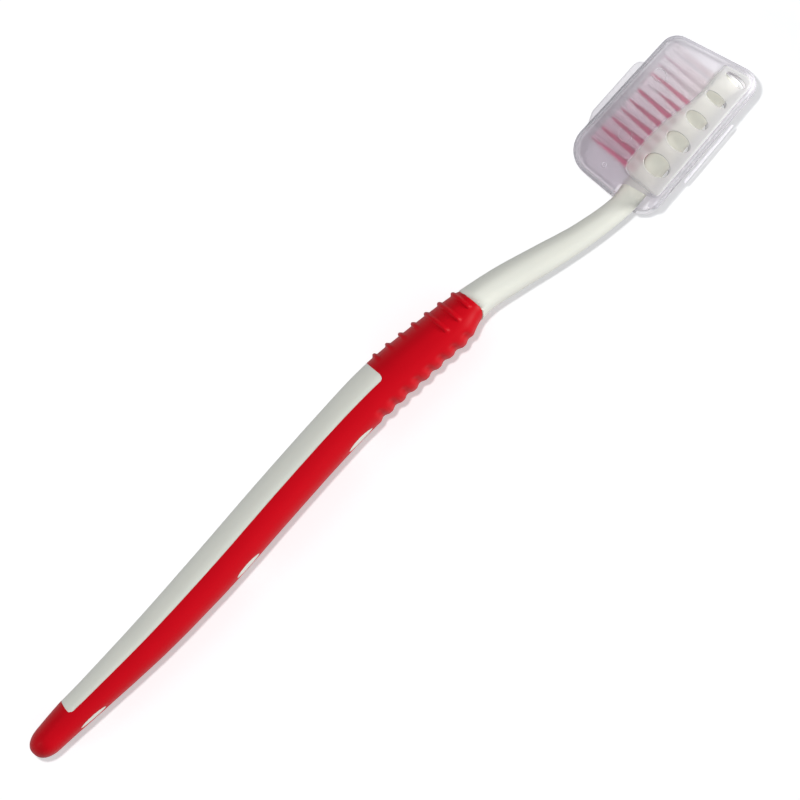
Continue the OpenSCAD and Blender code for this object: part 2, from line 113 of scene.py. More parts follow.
def tinted(tree, share, *colours, blend="MIX"):
    sides = {"Factor": share}
    for name, colour in zip("AB", colours):
        sides[name] = colour if isinstance(colour, bpy.types.NodeSocket) else colour + (1,)
    return wire(tree, "ShaderNodeMix", sides, data_type="RGBA", blend_type=blend).outputs["Result"]


def blended(tree, share, first, second):
    return wire(tree, "ShaderNodeMixShader", {0: share, 1: first.outputs[0], 2: second.outputs[0]})


def objectPlace(tree, axis):
    spot = wire(tree, "ShaderNodeTexCoord").outputs["Object"]
    return wire(tree, "ShaderNodeSeparateXYZ", {0: spot}).outputs[axis]


def grained(tree, height, look):
    settings = {"Height": height, "Strength": look["bump"], "Distance": look["grainDepth"]}
    return wire(tree, "ShaderNodeBump", settings).outputs[0]


moulded = {
    "scales": {"Grain Scale": 1800, "Mottle Scale": 90, "Mark Scale": 140},
    "markTurn": (0.3, 0.2, 0.5),
    "markStretch": (0.25, 2.2, 1.6),
    "markBand": (0.58, 0.74),
}


def makeSurfaceGroup():
    # Uneven moulded surface: a soft mottle, a fine grain and thin handling marks
    group = bpy.data.node_groups.new("mouldedSurface", "ShaderNodeTree")
    for name, scale in moulded["scales"].items():
        socket = group.interface.new_socket(name, in_out="INPUT", socket_type="NodeSocketFloat")
        socket.default_value = scale
    for name in ("Mottle", "Grain", "Marks"):
        group.interface.new_socket(name, in_out="OUTPUT", socket_type="NodeSocketFloat")
    given, result = wire(group, "NodeGroupInput"), wire(group, "NodeGroupOutput")
    place = wire(group, "ShaderNodeTexCoord").outputs["Object"]

    def cloudy(spot, scaleName, detail, roughness):
        scale = given.outputs[scaleName]
        settings = {"Vector": spot, "Scale": scale, "Detail": detail, "Roughness": roughness}
        return wire(group, "ShaderNodeTexNoise", settings).outputs["Fac"]

    drawn = {"Vector": place, "Rotation": moulded["markTurn"], "Scale": moulded["markStretch"]}
    stretched = wire(group, "ShaderNodeMapping", drawn).outputs[0]
    marks = cloudy(stretched, "Mark Scale", 6.0, 0.7)
    found = {
        "Mottle": cloudy(place, "Mottle Scale", 4.0, 0.55),
        "Grain": cloudy(place, "Grain Scale", 3.0, 0.6),
        "Marks": mapped(group, marks, *moulded["markBand"]),
    }
    for name, source in found.items():
        group.links.new(source, result.inputs[name])
    return group


surfaceGroup = makeSurfaceGroup()


def plasticMaterial(look):
    # look: the settings of one finish
    material, tree = newMaterial(look["name"])
    surface = wire(tree, "ShaderNodeGroup", look.get("scales"), node_tree=surfaceGroup)
    mottle = surface.outputs["Mottle"]
    colour = tinted(tree, mottle, look["colour"], look["shade"])
    if "root" in look:
        # painted shade between the filaments' roots, fading with the height over the head
        tint, low, high = look["root"]
        rise = mapped(tree, objectPlace(tree, "Y"), low, high, smooth=True)
        colour = tinted(tree, rise, tint, colour)
    if "shadeDrift" in look:
        # painted shade along the head: the tint at the near place fades out at the far one
        tint, near, far = look["shadeDrift"]
        along = mapped(tree, objectPlace(tree, "X"), near, far, 1.0, 0.0)
        colour = tinted(tree, along, colour, tint, blend="MULTIPLY")
    rough = mapped(tree, mottle, 0.0, 1.0, *look["rough"])
    rough = worked(tree, "MULTIPLY_ADD", surface.outputs["Marks"], look["markRough"], rough)
    height = worked(tree, "MULTIPLY_ADD", mottle, look["mottleHeight"], surface.outputs["Grain"])
    shader = wire(tree, "ShaderNodeBsdfPrincipled", {
        "Base Color": colour,
        "Roughness": rough,
        "Normal": grained(tree, height, look),
        **look.get("sockets", {}),
    })
    wire(tree, "ShaderNodeOutputMaterial", {"Surface": shader.outputs[0]})
    return material


coreLook = {
    "name": "ivoryPlastic", "colour": (0.75, 0.745, 0.665), "shade": (0.70, 0.70, 0.63),
    # the head is painted a little darker than the neck, as the cap's shade over it
    "shadeDrift": ((0.98, 0.97, 0.94), 0.068, 0.058),
    "rough": (0.34, 0.44), "markRough": 0.10,
    "mottleHeight": 0.6, "bump": 0.12, "grainDepth": 0.00004,
    "sockets": {
        "Subsurface Weight": 0.08, "Subsurface Radius": (0.9, 0.8, 0.7), "Subsurface Scale": 0.001,
    },
}
gripLook = {
    "name": "redElastomer", "colour": (0.56, 0.0012, 0.008), "shade": (0.49, 0.001, 0.007),
    "scales": {"Mottle Scale": 120, "Grain Scale": 2600},
    "rough": (0.40, 0.50), "markRough": 0.08,
    "mottleHeight": 0.8, "bump": 0.22, "grainDepth": 0.00005,
    "sockets": {
        "IOR": 1.42, "Specular IOR Level": 0.16,
        "Sheen Weight": 0.05, "Sheen Roughness": 0.3, "Sheen Tint": (1.0, 0.55, 0.65, 1),
    },
}
paleLook = {
    "name": "paleFilament", "colour": (0.98, 0.935, 0.955), "shade": (0.95, 0.895, 0.915),
    # painted shade: darker low between the roots, and towards the neck end of the head
    "root": ((0.93, 0.83, 0.85), -0.0035, 0.0055), "shadeDrift": ((0.90, 0.66, 0.74), 0.067, 0.085),
    "rough": (0.30, 0.42), "markRough": 0.05,
    "mottleHeight": 0.3, "bump": 0.05, "grainDepth": 0.00002,
    "sockets": {
        "Subsurface Weight": 0.15, "Subsurface Radius": (1.0, 0.9, 1.0), "Subsurface Scale": 0.0006,
    },
}
blushLook = dict(paleLook, name="blushFilament", colour=(0.93, 0.68, 0.77), shade=(0.88, 0.62, 0.72))
redLook = {
    "name": "crimsonFilament", "colour": (0.95, 0.34, 0.46), "shade": (0.88, 0.30, 0.42),
    # deeper and darker towards the neck end of the head, as painted shade
    "shadeDrift": ((0.84, 0.02, 0.42), 0.080, 0.088),
    "rough": (0.34, 0.46), "markRough": 0.05,
    "mottleHeight": 0.3, "bump": 0.05, "grainDepth": 0.00002,
    "sockets": {"Specular IOR Level": 0.3},
}
brassLook = {
    "name": "drawnBrass", "colour": (0.74, 0.55, 0.24), "shade": (0.62, 0.45, 0.19),
    "rough": (0.24, 0.36), "markRough": 0.15,
    "mottleHeight": 0.5, "bump": 0.10, "grainDepth": 0.00002,
    "sockets": {"Metallic": 1.0},
}
capLook = {
    "name": "frostedPolypropylene", "colour": (0.965, 0.953, 0.972), "shade": (0.935, 0.923, 0.945),
    "scales": {"Grain Scale": 2200, "Mottle Scale": 160, "Mark Scale": 200},
    # painted shade at the neck end: its tint, its place on the cap, how much it is drawn out,
    # and how far off it starts to fade and ends
    "neckShade": ((0.69, 0.665, 0.69), (0.0621, 0.00115), 1.6, 0.003, 0.032),
    "middle": 0.007,  # height of the parting plane
    "pocket": (0.0066, 0.0069),  # over the parting plane
    "rimBand": (0.0013, 0.0016),
    "slant": (0.05, 0.3),
    "rough": (0.27, 0.34), "pocketRough": 0.3, "bump": 0.12, "grainDepth": 0.00003,
    "haze": {"rim": 0.34, "pocket": 0.42, "slant": 0.34, "specks": 0.02},
    "speckBand": (0.35, 0.65),
    # the last milk is the darker haze of the painted shade at the neck end
    "milk": (0.95, 0.935, 0.95), "pocketMilk": (0.82, 0.81, 0.765), "neckShadeMilk": (0.60, 0.57, 0.53),
    "wallTint": (0.93, 0.92, 0.94), "shadowTint": (0.985, 0.98, 0.985), "edgeShadow": (0.10, 0.10, 0.12),
    "transmission": 0.92,
    "sockets": {"IOR": 1.3, "Coat Weight": 0.5, "Coat Roughness": 0.12, "Coat IOR": 1.5},
}


def frostedMaterial(look):
    material, tree = newMaterial(look["name"])
    surface = wire(tree, "ShaderNodeGroup", look["scales"], node_tree=surfaceGroup)
    mottle, grain = surface.outputs["Mottle"], surface.outputs["Grain"]
    # painted shade, darkest at the front of the neck end and fading away from it
    neckShadeTint, (neckShadeX, neckShadeY), stretch, near, far = look["neckShade"]
    shifted = wire(tree, "ShaderNodeMapping", {
        "Vector": wire(tree, "ShaderNodeTexCoord").outputs["Object"],
        "Location": (-neckShadeX, -neckShadeY * stretch, 0),
        "Scale": (1, stretch, 0),
    })
    reach = wire(tree, "ShaderNodeVectorMath", {0: shifted.outputs[0]}, operation="LENGTH")
    neckShading = mapped(tree, reach.outputs["Value"], near, far, 1.0, 0.0, smooth=True)
    colour = tinted(tree, mottle, look["colour"], look["shade"])
    colour = tinted(tree, neckShading, colour, neckShadeTint, blend="MULTIPLY")
    # the raised pocket over the head is blasted rougher than the rest
    over = worked(tree, "SUBTRACT", objectPlace(tree, "Z"), look["middle"])
    away = worked(tree, "ABSOLUTE", over)
    raised = mapped(tree, away, *look["pocket"])
    rough = mapped(tree, mottle, 0.0, 1.0, *look["rough"])
    rough = worked(tree, "MULTIPLY_ADD", raised, look["pocketRough"], rough)
    shared = {"Roughness": rough, "Normal": grained(tree, grain, look), **look["sockets"]}
    clear = {"Base Color": colour, "Transmission Weight": look["transmission"]}
    glass = wire(tree, "ShaderNodeBsdfPrincipled", {**shared, **clear})
    # the haze also darkens towards the neck end, as painted shade
    milky = tinted(tree, neckShading, look["pocketMilk"], look["neckShadeMilk"])
    milky = tinted(tree, raised, look["milk"], milky)
    milk = wire(tree, "ShaderNodeBsdfPrincipled", {**shared, "Base Color": milky})
    # walls seen along their face let the eye through unbent, under more haze
    facing = wire(tree, "ShaderNodeLayerWeight", {"Blend": 0.5}).outputs["Facing"]
    aslant = mapped(tree, facing, *look["slant"], smooth=True)
    plain = wire(tree, "ShaderNodeBsdfTransparent", {"Color": look["wallTint"] + (1,)})
    body = blended(tree, aslant, glass, plain)
    # the rims, the tab and the hinge are thick and left rough from the tool
    parting = mapped(tree, away, *look["rimBand"], 1.0, 0.0)
    haze = worked(tree, "MULTIPLY", parting, look["haze"]["rim"])
    haze = worked(tree, "MULTIPLY_ADD", raised, look["haze"]["pocket"], haze)
    haze = worked(tree, "MULTIPLY_ADD", aslant, look["haze"]["slant"], haze)
    specks = mapped(tree, grain, *look["speckBand"], 0.0, look["haze"]["specks"])
    haze = worked(tree, "ADD", haze, specks)
    hazy = blended(tree, haze, body, milk)
    # light passes to what lies inside, and less of it through the walls
    passed = tinted(tree, aslant, look["shadowTint"], look["edgeShadow"])
    veil = wire(tree, "ShaderNodeBsdfTransparent", {"Color": passed})
    isShadow = wire(tree, "ShaderNodeLightPath").outputs["Is Shadow Ray"]
    mix = blended(tree, isShadow, hazy, veil)
    wire(tree, "ShaderNodeOutputMaterial", {"Surface": mix.outputs[0]})
    return material


ivory = plasticMaterial(coreLook)
elastomer = plasticMaterial(gripLook)
paleFilament = plasticMaterial(paleLook)
redFilament = plasticMaterial(redLook)
blushFilament = plasticMaterial(blushLook)
brass = plasticMaterial(brassLook)
frosted = frostedMaterial(capLook)
print("materials made")


# Shared ways of making a mesh
def rollGrid(bm, rings, keep=None):
    # rings of equal length become one skin, less the cells that keep turns down
    rows, columns = len(rings), len(rings[0])
    grid = bmesh.ops.create_grid(bm, x_segments=rows - 1, y_segments=columns, size=0.5)["verts"]
    spots = {v: (round((v.co.x + 0.5) * (rows - 1)), round((v.co.y + 0.5) * columns)) for v in grid}
    for v, (row, column) in spots.items():
        v.co = rings[row][column % columns]
    if keep:
        gone = []
        for face in {f for v in grid for f in v.link_faces}:
            row, column = (min(spots[v][n] for v in face.verts) for n in (0, 1))
            if not keep(row, column):
                gone.append(face)
        bmesh.ops.delete(bm, geom=gone, context="FACES")


def flatFill(bm, loops):
    edges = []
    for points in loops:
        verts = [bm.verts.new(p) for p in points]
        edges += [bm.edges.new((verts[i - 1], verts[i])) for i in range(len(verts))]
    bmesh.ops.triangle_fill(bm, use_beauty=True, edges=edges)


def flatEnded(bm, rings):
    # a block between two flat ends
    rollGrid(bm, rings)
    flatFill(bm, [rings[0]])
    flatFill(bm, [rings[-1]])


def closeHoles(bm):
    bmesh.ops.holes_fill(bm, edges=[e for e in bm.edges if e.is_boundary], sides=0)


def shadeSmooth(bm, sharp):
    for face in bm.faces:
        face.smooth = True
    for edge in bm.edges:
        edge.smooth = len(edge.link_faces) != 2 or edge.calc_face_angle() < math.radians(sharp)


def makeObject(bm, name, material, sharp=35, weld=0.002):
    bmesh.ops.remove_doubles(bm, verts=bm.verts, dist=weld)
    bmesh.ops.recalc_face_normals(bm, faces=bm.faces)
    shadeSmooth(bm, sharp)
    bmesh.ops.transform(bm, matrix=toRow, verts=bm.verts)
    mesh = bpy.data.meshes.new(name)
    bm.to_mesh(mesh)
    bm.free()
    mesh.materials.append(material)
    piece = bpy.data.objects.new(name, mesh)
    bpy.context.scene.collection.objects.link(piece)
    return piece


def dress(piece, body, node):
    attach(piece, body)
    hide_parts(node)


# Handle
handle = {
    # place along it, front line, back line and half width, all as shares
    "stations": [
        (0, 0.996, 0.766, 0.69), (0.055, 0.998, 0.718, 0.72), (0.111, 0.977, 0.664, 0.777),
        (0.205, 0.948, 0.583, 0.842), (0.318, 0.931, 0.531, 0.878), (0.431, 0.921, 0.514, 0.906),
        (0.544, 0.9, 0.488, 0.95), (0.62, 0.871, 0.438, 0.99), (0.695, 0.783, 0.372, 0.99),
        (0.736, 0.723, 0.337, 0.92), (0.768, 0.669, 0.373, 0.763), (0.818, 0.567, 0.283, 0.59),
        (0.87, 0.432, 0.171, 0.504), (0.922, 0.296, 0.075, 0.439), (0.977, 0.203, 0.005, 0.403),
        (1.01, 0.2125, 0.0, 0.42),
    ],
    "roundness": 2.4,
    "tailLength": 4.2,
    "tailFullness": 2.4,
    "panel": (10.7, 100.1),
    "panelLean": 0.7,
    "leanRun": 5,
    "panelCorner": 1.0,
    "cornerColumns": 6,
    "cornerTurn": 11,  # degrees
    "panelLift": 4.8,  # degrees
    "backColumns": 56,
    "frontColumns": 40,
    "windows": [(13.1, 4), (55.1, 2), (87.95, 2)],  # middle, first column from the middle of the back
    "windowLength": 6.4,
    "windowColumns": 8,
    "windowRows": 14,
    "plainFrom": 4.9,
    "plainStep": 0.9,
    "ribbedFrom": 92,
    "ribbedStep": 0.24,
    "gripDepth": 0.9,
    "seatDepth": 0.95,
    "panelDepth": 0.04,
    "lip": 1.1,
    "lipDrop": 0.28,
    "waver": 0.03,
    "waverStretch": (0.2, 2),
    "edgeRound": 0.00010,  # metres
}
fullSize = (neckLength, brush["crook"], brush["crook"], brush["gripWidth"] / 2)
stationTable = [[share * full for share, full in zip(s, fullSize)] for s in handle["stations"]]
columnCount = handle["backColumns"] + handle["frontColumns"]
middleColumn = handle["backColumns"] // 2
windowHalf = handle["windowColumns"] / 2


def track(x, column):
    i = 0
    while i < len(stationTable) - 2 and x >= stationTable[i + 1][0]:
        i += 1
    a, b = stationTable[i], stationTable[i + 1]

    def slope(n):
        low, high = stationTable[max(n - 1, 0)], stationTable[min(n + 1, len(stationTable) - 1)]
        return (high[column] - low[column]) / (high[0] - low[0])

    width = b[0] - a[0]
    t = min(max((x - a[0]) / width, 0), 1)
    s = 1 - t
    bend = s * t * (s * slope(i) - t * slope(i + 1)) * width
    return s * s * (1 + 2 * t) * a[column] + t * t * (1 + 2 * s) * b[column] + bend


def section(x):
    front, back = track(x, 1), track(x, 2)
    return (front + back) / 2, (front - back) / 2, track(x, 3)


def powered(value, exponent):
    return math.copysign(abs(value) ** exponent, value)


def columnAngle(k):
    lift, back, front = handle["panelLift"], handle["backColumns"], handle["frontColumns"]
    if k <= back:
        return math.radians(180 - lift + k * (180 + 2 * lift) / back)
    return math.radians(360 + lift + (k - back) * (180 - 2 * lift) / front)


def windowAt(x, slack=0.001):
    for middle, first in handle["windows"]:
        if abs(x - middle) <= handle["windowLength"] / 2 + slack:
            return middle, first
    return None


# Thumb rest: ribs on the front, scallops on the back, and a front edge that falls away at the back
texture = {
    "lastRib": 121.26, "pitch": 3.16, "ribs": 7, "longRibs": 3, "ribHeight": 0.56, "ribHalf": 0.50,
    "longReach": (-0.14, -0.02), "shortReach": (0.70, 0.94),
    "grooves": 8, "firstGroove": 1.5, "grooveDepth": 0.42, "grooveHalf": 1.25,
    "grooveReach": (0.52, 0.78), "grooveRound": 1.6,
    "endFall": 1.5, "endBack": 0.5, "endBulge": 0.2, "endFrom": 112,
}


def relief(x, rise):
    # rise is 1 at the front of the section and -1 at its back
    lift = 0
    for m in range(texture["ribs"]):
        away = abs(x - texture["lastRib"] + m * texture["pitch"])
        if away < texture["ribHalf"]:
            limits = texture["longReach"] if m < texture["longRibs"] else texture["shortReach"]
            swell = math.sqrt(max(0, 1 - (away / texture["ribHalf"]) ** 2))
            lift += texture["ribHeight"] * smoothStep(*limits, rise) * swell
    for m in range(texture["grooves"]):
        away = abs(x - texture["lastRib"] + (m + texture["firstGroove"]) * texture["pitch"])
        if away < texture["grooveHalf"]:
            reach = smoothStep(*texture["grooveReach"], -rise)
            hollow = math.cos(math.pi / 2 * away / texture["grooveHalf"]) ** texture["grooveRound"]
            lift -= texture["grooveDepth"] * reach * hollow
    return lift


def endShift(rise):
    # how far the grip's front edge bulges out, and falls away at the back
    back = max(0, (-rise - texture["endBack"]) / (1 - texture["endBack"]))
    fall = texture["endFall"] * (1 - math.sqrt(max(0, 1 - back * back)))
    return texture["endBulge"] * (1 - rise * rise) - fall


def cornerTurn(x, k, slack=0.01):
    # rounds the panel's corners by easing its lower edges upwards near its ends
    start, end = handle["panel"]
    inside = min(x - start, end - x)
    if inside <= -slack:
        return 0
    t = min(max(1 - inside / handle["panelCorner"], 0), 1)
    away = min(k, abs(k - handle["backColumns"]), columnCount - k)
    if t == 0 or away > handle["cornerColumns"]:
        return 0
    share = 1 - away / (handle["cornerColumns"] + 1)
    turn = math.radians(handle["cornerTurn"]) * (1 - math.sqrt(1 - t * t)) * share
    return turn if k > middleColumn else -turn


def handleRings(lines, depthAt):
    # lines: place and share of full size; depthAt: how far a point lies under the surface
    perColumn = math.radians((180 + 2 * handle["panelLift"]) / handle["backColumns"])
    reach = handle["windowLength"] / 2
    rings = []
    for x0, share in lines:
        window = windowAt(x0)
        ring = []
        for k in range(columnCount):
            x, angle, offset = x0, columnAngle(k), k - middleColumn
            q = (abs(offset) - window[1] - windowHalf) / windowHalf if window else 2
            if abs(q) <= 1:
                # the cells of a window are drawn into an ellipse
                p = (x0 - window[0]) / reach
                x = window[0] + p * reach * math.sqrt(1 - q * q / 2)
                aside = window[1] + windowHalf + windowHalf * q * math.sqrt(1 - p * p / 2)
                angle = math.radians(270) + math.copysign(aside * perColumn, offset)
            middle, high, wide = section(x)
            angle += cornerTurn(x0, k)
            y = high * powered(math.sin(angle), 2 / handle["roundness"])
            z = wide * powered(math.cos(angle), 2 / handle["roundness"])
            rise = y / high
            near = max(0, 1 - abs(x0 - handle["panel"][0]) / handle["leanRun"])
            x += handle["panelLean"] * max(0, rise) ** 2 * near
            depth, x = depthAt(x, rise, x0, k)
            normal = Vector((0, y / high ** 2, z / wide ** 2)).normalized()
            ring.append(Vector((x, middle + y * share, z * share)) - normal * depth * share)
        rings.append(ring)
    return rings


def isWindowCell(x, k):
    window = windowAt(x)
    if not window:
        return False
    return window[1] <= abs(k + 0.5 - middleColumn) <= window[1] + handle["windowColumns"]


def isPanelCell(x, k):
    return handle["panel"][0] < x < handle["panel"][1] and k >= handle["backColumns"]


def handleLines():
    clear, least = 0.4, 0.09
    power, length = 2 / handle["tailFullness"], handle["tailLength"]
    tail = [(length * (1 - math.cos(a) ** power), math.sin(a) ** power) for a in turns(90, 6)]
    tail.append((length, 1))
    marks = list(handle["panel"])
    spots = []
    for middle, first in handle["windows"]:
        rows, half = handle["windowRows"], handle["windowLength"] / 2
        spots += [middle - half + 2 * half * i / rows for i in range(rows + 1)]
    spots += marks
    spots += evenly(handle["ribbedFrom"], brush["gripLength"], handle["ribbedStep"])
    plain = evenly(handle["plainFrom"], handle["ribbedFrom"], handle["plainStep"])
    spots += [x for x in plain if min(abs(x - s) for s in spots) > clear and not windowAt(x)]
    spots = sorted(spots)
    kept = [spots[0]]
    for x in spots[1:]:
        if x - kept[-1] > least or x in marks:
            kept.append(x)
    return tail + [(x, 1) for x in kept]


def makeGrip():
    lip, last = handle["lip"], brush["gripLength"]
    lines = [line for line in handleLines() if line[0] < last - lip]
    lines += [(last - lip * (1 - math.sin(a)), 1) for a in turns(91, 10)]

    def depthAt(x, rise, x0, k):
        moved = x + smoothStep(texture["endFrom"], last, x) * endShift(rise)
        over = max(0, (x - (last - lip)) / lip)
        drop = handle["lipDrop"] * (1 - math.sqrt(max(0, 1 - over * over)))
        along, around = handle["waverStretch"]
        soft = handle["waver"] * noise.noise(Vector((moved * along, rise * around, 4)))
        return drop - relief(moved, rise) + soft, moved

    def isSkin(j, k):
        x = (lines[j][0] + lines[j + 1][0]) / 2
        return not isPanelCell(x, k) and not isWindowCell(x, k)

    bm = bmesh.new()
    rollGrid(bm, handleRings(lines, depthAt), isSkin)
    piece = makeObject(bm, "gripSkin", elastomer, sharp=60)
    solid = piece.modifiers.new("thickness", "SOLIDIFY")
    solid.thickness, solid.offset, solid.use_even_offset = handle["gripDepth"] / 1000, -1, False
    edge = piece.modifiers.new("softEdges", "BEVEL")
    edge.width, edge.segments = handle["edgeRound"], 2
    edge.limit_method, edge.angle_limit = "ANGLE", math.radians(48)
    return piece


# Head
head = {
    "thickness": 5.1,
    "half": 5.7,
    "flare": [  # place and half width
        (154.0, 2.80), (156.5, 2.78), (158.4, 2.95), (160.2, 3.65),
        (162.2, 4.65), (163.8, 5.35), (165.4, 5.7),
    ],
    "softened": 168,  # up to here the half width is an average over these steps
    "softSteps": (-1.2, -0.6, 0, 0.6, 1.2),
    "tipRadius": 4.6,
    "edge": 0.9,
    "squareness": 5.5,
    "squareRun": (-5, 8),  # from the end of the neck
    "joinRun": (-4, 1),
    "step": 0.7,
}


def headHalf(x):
    flare, radius = head["flare"], head["tipRadius"]
    if x <= flare[0][0]:
        return section(x)[2]
    if x >= brush["length"] - radius:
        run = min(x - brush["length"] + radius, radius)
        return head["half"] - radius + math.sqrt(radius ** 2 - run * run)
    for (x0, w0), (x1, w1) in zip(flare, flare[1:]):
        if x0 <= x <= x1:
            return w0 + (w1 - w0) * (x - x0) / (x1 - x0)
    return head["half"]


def softHeadHalf(x):
    if x > head["softened"]:
        return headHalf(x)
    return sum(headHalf(x + d) for d in head["softSteps"]) / len(head["softSteps"])


def headRing(x, inset):
    squareLow, squareHigh = (neckLength + d for d in head["squareRun"])
    joinLow, joinHigh = (neckLength + d for d in head["joinRun"])
    square = smoothStep(squareLow, squareHigh, x)
    exponent = handle["roundness"] + (head["squareness"] - handle["roundness"]) * square
    middle, high, wide = section(min(x, neckLength))
    blend = smoothStep(joinLow, joinHigh, x)
    middle += (head["thickness"] / 2 - middle) * blend
    high += (head["thickness"] / 2 - high) * blend
    high -= inset
    wide = softHeadHalf(x) - inset
    ring = []
    for k in range(columnCount):
        angle = columnAngle(k)
        y = middle + high * powered(math.sin(angle), 2 / exponent)
        ring.append(Vector((x, y, wide * powered(math.cos(angle), 2 / exponent))))
    return ring


def makeCore():
    gripEnd, headStart = brush["gripLength"], neckLength + head["squareRun"][0]
    seatRun, seatSlope = 3, (-0.25, -0.02)
    lines = handleLines()
    lines += [(x, 1) for x in evenly(gripEnd, headStart, handle["plainStep"])]

    def depthAt(x, rise, x0, k):
        if x0 >= gripEnd - seatRun:
            low, high = (gripEnd + endShift(rise) + d for d in seatSlope)
            return handle["seatDepth"] * (1 - smoothStep(low, high, x0)), x
        start, end = handle["panel"]
        onPanel = start <= x0 <= end and (k >= handle["backColumns"] or k == 0)
        window = windowAt(x0)
        onWindow = window and window[1] <= abs(k - middleColumn) <= window[1] + handle["windowColumns"]
        return (handle["panelDepth"] if onPanel or onWindow else handle["seatDepth"]), x

    rings = handleRings(lines, depthAt)
    edge, last, radius = head["edge"], brush["length"], head["tipRadius"]
    headLines = [(x, 0) for x in evenly(headStart, last - radius, head["step"])]
    headLines += [(last - edge - (radius - edge) * math.cos(a), 0) for a in turns(90, 9)]
    headLines += [(last - edge + edge * math.sin(a), edge * (1 - math.cos(a))) for a in turns(91, 15)]
    rings += [headRing(x, inset) for x, inset in headLines]
    bm = bmesh.new()
    rollGrid(bm, rings)
    bmesh.ops.remove_doubles(bm, verts=bm.verts, dist=0.002)
    closeHoles(bm)
    return makeObject(bm, "handleBody", ivory, sharp=50)


grip = makeGrip()
dress(grip, "brush", "grip_overmould")
core = makeCore()
dress(core, "brush", "handle_core")
print("handle made")


# Tufts
tufts = {
    "rows": 11, "firstInset": 4.3, "lastInset": 2.15, "pitchLoss": 0.0265,
    "holeWall": 0.42, "holeEdge": 1.15, "lastSpread": 1.2,
    "length": 10.4, "dip": 0.075, "fall": 0.035, "redRows": 8,
    "bristles": 46, "bristleRadius": 0.088, "sides": 5,
    # place and width along a filament
    "steps": [(0, 1), (0.35, 1), (0.7, 1), (0.985, 0.97), (0.996, 0.6)],
    "bundle": 0.75, "turn": 2.39996, "turnStray": 0.2, "lengthStray": (0.975, 1.012), "stray": 0.013,
    "meet": 1.05, "innerFan": 0.45, "firstFan": -0.45, "bow": 0.3,
    "rootDepth": 1.2, "leans": {0: -0.05, 5: 0.04, 6: -0.03}, "seed": 11,
}
rowGaps = tufts["rows"] - 1
rowRun = brush["headLength"] - tufts["firstInset"] - tufts["lastInset"]
rowPitch = rowRun / (rowGaps - tufts["pitchLoss"] * rowGaps * (rowGaps - 1) / 2)
holeRadius = (rowPitch * (1 - (rowGaps - 2) * tufts["pitchLoss"]) - tufts["holeWall"]) / 2
outerZ = head["half"] - tufts["holeEdge"] - holeRadius
innerZ = outerZ / 3


def rowX(i):
    return neckLength + tufts["firstInset"] + rowPitch * (i - tufts["pitchLoss"] * i * (i - 1) / 2)


def halfPitch(i):
    return rowPitch * (1 - i * tufts["pitchLoss"]) / 2


def bristleLength(i):
    t = i / rowGaps
    return tufts["length"] * (1 - tufts["dip"] * math.sin(math.pi * t) - tufts["fall"] * t)


def makeBristle():
    # one filament of length 1, with a rounded end
    bm = bmesh.new()
    around = [2 * math.pi * n / tufts["sides"] for n in range(tufts["sides"])]
    rings = []
    for y, r in tufts["steps"]:
        rings.append([Vector((r * math.cos(a), y, r * math.sin(a))) for a in around])
    rollGrid(bm, rings)
    bmesh.ops.remove_doubles(bm, verts=bm.verts, dist=0.001)
    closeHoles(bm)
    bmesh.ops.recalc_face_normals(bm, faces=bm.faces)
    mesh = bpy.data.meshes.new("filament")
    bm.to_mesh(mesh)
    bm.free()
    return mesh


filament = makeBristle()
chance = random.Random(tufts["seed"])


def makeTufts(name, x, z, length, material, fan, lean=0):
    # a row: one bundle on each side of the middle
    thin, depth = tufts["bristleRadius"], tufts["rootDepth"]
    bm = bmesh.new()
    for side in (-z, z):
        for n in range(tufts["bristles"]):
            radius = (holeRadius * tufts["bundle"] - thin) * math.sqrt((n + 0.5) / tufts["bristles"])
            turn = n * tufts["turn"] + chance.uniform(-tufts["turnStray"], tufts["turnStray"])
            dx, dz = radius * math.cos(turn), radius * math.sin(turn)
            reach = length * chance.uniform(*tufts["lengthStray"])
            leanX = dx * fan + (chance.gauss(0, tufts["stray"]) + lean) * length
            leanZ = dz * fan + chance.gauss(0, tufts["stray"]) * length
            first = len(bm.verts)
            bm.from_mesh(filament)
            bm.verts.ensure_lookup_table()
            for v in bm.verts[first:]:
                up = v.co.y * (reach + depth) - depth
                t = max(0, up / reach)
                bent = t * (1 - tufts["bow"] + tufts["bow"] * t)
                v.co = Vector((
                    x + dx + leanX * bent + v.co.x * thin,
                    head["thickness"] + up,
                    side + dz + leanZ * bent + v.co.z * thin,
                ))
    return makeObject(bm, name, material, sharp=70, weld=0.0001)


for i in range(tufts["rows"]):
    z = tufts["lastSpread"] * innerZ if i == rowGaps else outerZ
    fan = tufts["meet"] * (halfPitch(i) / (holeRadius * tufts["bundle"]) - 1)
    name, lean = f"outerTufts{i + 1:02d}", tufts["leans"].get(i, 0)
    piece = makeTufts(name, rowX(i), z, bristleLength(i), paleFilament, fan, lean)
    dress(piece, "brush", f"outer_tufts_{i + 1:02d}")
for i in range(rowGaps):
    isRed = i < tufts["redRows"]
    look = redFilament if isRed else blushFilament
    fan = tufts["innerFan"] if i else tufts["firstFan"]
    name, x = f"innerTufts{i + 1:02d}", rowX(i) - halfPitch(i)
    piece = makeTufts(name, x, innerZ, bristleLength(i), look, fan)
    dress(piece, "brush", f"inner_tufts_{i + 1:02d}")
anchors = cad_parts["tuft_anchors"]
anchors.data.materials.clear()
anchors.data.materials.append(brass)
print("tufts made")


